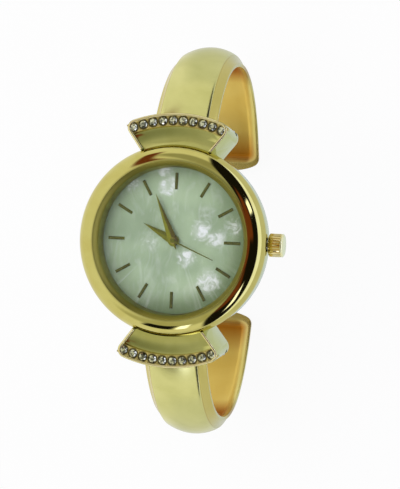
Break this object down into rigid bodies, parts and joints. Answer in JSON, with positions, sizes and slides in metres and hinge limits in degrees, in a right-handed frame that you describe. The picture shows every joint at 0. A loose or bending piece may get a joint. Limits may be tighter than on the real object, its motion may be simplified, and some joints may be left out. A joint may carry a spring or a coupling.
{
  "type": "bangle watch",
  "caption": "Gold-tone bangle watch: round head with pearl dial, fan-shaped stone-set lugs and two sprung arms that close round the wrist, open at the back.",
  "frame": {"origin": "centre of the back cover's flat outer face, on the axis of the hands", "axes": "+Z out of the dial, +Y towards twelve o'clock, +X towards the winding button at three o'clock"},
  "size_m": [0.0353, 0.0698, 0.0499],
  "materials": {
    "case_gold": "polished pale gold plating",
    "bezel_gold": "mirror-polished gold plating",
    "arm_gold": "bright satin pale gold plating",
    "bar_gold": "gold plating, darkened between the stones",
    "stone": "clear cut glass with foil behind",
    "crystal": "clear polished mineral glass",
    "ring_gold": "satin gold plating",
    "dial_base": "plain brass",
    "pearl": "pale green-white mother-of-pearl",
    "marker_gold": "polished gold plating",
    "hand_gold": "polished gold plating",
    "button_gold": "polished gold plating",
    "back_steel": "circular-brushed stainless steel",
    "steel": "machined steel",
    "wheel_brass": "machined brass",
    "battery_steel": "plain steel cell",
    "copper_wire": "enamelled copper wire",
    "board_green": "green circuit board",
    "holder_plastic": "white moulded plastic",
    "rubber_black": "black rubber",
    "gasket_clear": "pale nylon"
  },
  "bodies": {
    "case": {"case_middle": "case_gold", "bezel": "bezel_gold", "upper_stone_bar": "bar_gold", "lower_stone_bar": "bar_gold", "upper_stones": "stone", "lower_stones": "stone", "crystal": "crystal", "inner_ring": "ring_gold", "dial_plate": "dial_base", "pearl_disc": "pearl", "hour_markers": "marker_gold", "back_cover": "back_steel", "upper_hinge_pin": "steel", "lower_hinge_pin": "steel", "upper_spring": "steel", "lower_spring": "steel", "battery_clamp": "steel", "movement_screws": "steel", "button_tube": "steel", "quartz_can": "steel", "coil_core": "steel", "main_plate": "wheel_brass", "battery": "battery_steel", "coil_winding": "copper_wire", "circuit_board": "board_green", "movement_ring": "holder_plastic", "train_cover": "holder_plastic", "back_gasket": "rubber_black", "crystal_gasket": "gasket_clear"},
    "upper_arm": {"upper_arm": "arm_gold"},
    "lower_arm": {"lower_arm": "arm_gold"},
    "setting_slide": {"setting_lever": "steel"},
    "button": {"winding_button": "button_gold", "stem": "steel", "button_seal": "rubber_black"},
    "minute": {"cannon_pinion": "wheel_brass", "minute_hand": "hand_gold"},
    "hour": {"hour_wheel": "wheel_brass", "hour_hand": "hand_gold"},
    "seconds": {"seconds_arbor": "steel", "second_hand": "hand_gold"},
    "minute_wheel": {"minute_wheel": "wheel_brass"}
  },
  "joints": [
    {"name": "upper_arm_swing", "type": "hinge", "parent": "case", "child": "upper_arm", "pos_m": [0, 0.0189, 0], "axis": [1, 0, 0], "range_deg": [0, 24], "stiffness_Nm_per_rad": 0.15, "springref_deg": -20.05},
    {"name": "lower_arm_swing", "type": "hinge", "parent": "case", "child": "lower_arm", "pos_m": [0, -0.0189, 0], "axis": [-1, 0, 0], "range_deg": [0, 24], "stiffness_Nm_per_rad": 0.15, "springref_deg": -20.05},
    {"name": "button_pull", "type": "slide", "parent": "case", "child": "setting_slide", "axis": [1, 0, 0], "range_m": [0, 0.0009]},
    {"name": "button_turn", "type": "hinge", "parent": "setting_slide", "child": "button", "pos_m": [0.017, 0, 0.0032], "axis": [1, 0, 0], "continuous": true},
    {"name": "minute_turn", "type": "hinge", "parent": "case", "child": "minute", "pos_m": [0, 0, 0.0054], "axis": [0, 0, -1], "continuous": true},
    {"name": "hour_turn", "type": "hinge", "parent": "case", "child": "hour", "pos_m": [0, 0, 0.0054], "axis": [0, 0, -1], "continuous": true},
    {"name": "second_turn", "type": "hinge", "parent": "case", "child": "seconds", "pos_m": [0, 0, 0.0054], "axis": [0, 0, -1], "continuous": true},
    {"name": "minute_wheel_turn", "type": "hinge", "parent": "case", "child": "minute_wheel", "pos_m": [0.0015, 0.0026, 0.0045], "axis": [0, 0, -1], "continuous": true}
  ],
  "couplings": [
    {"joint": "hour_turn", "follows": "minute_turn", "ratio": 0.083333},
    {"joint": "second_turn", "follows": "minute_turn", "ratio": 60},
    {"joint": "minute_wheel_turn", "follows": "minute_turn", "ratio": -0.33333}
  ]
}
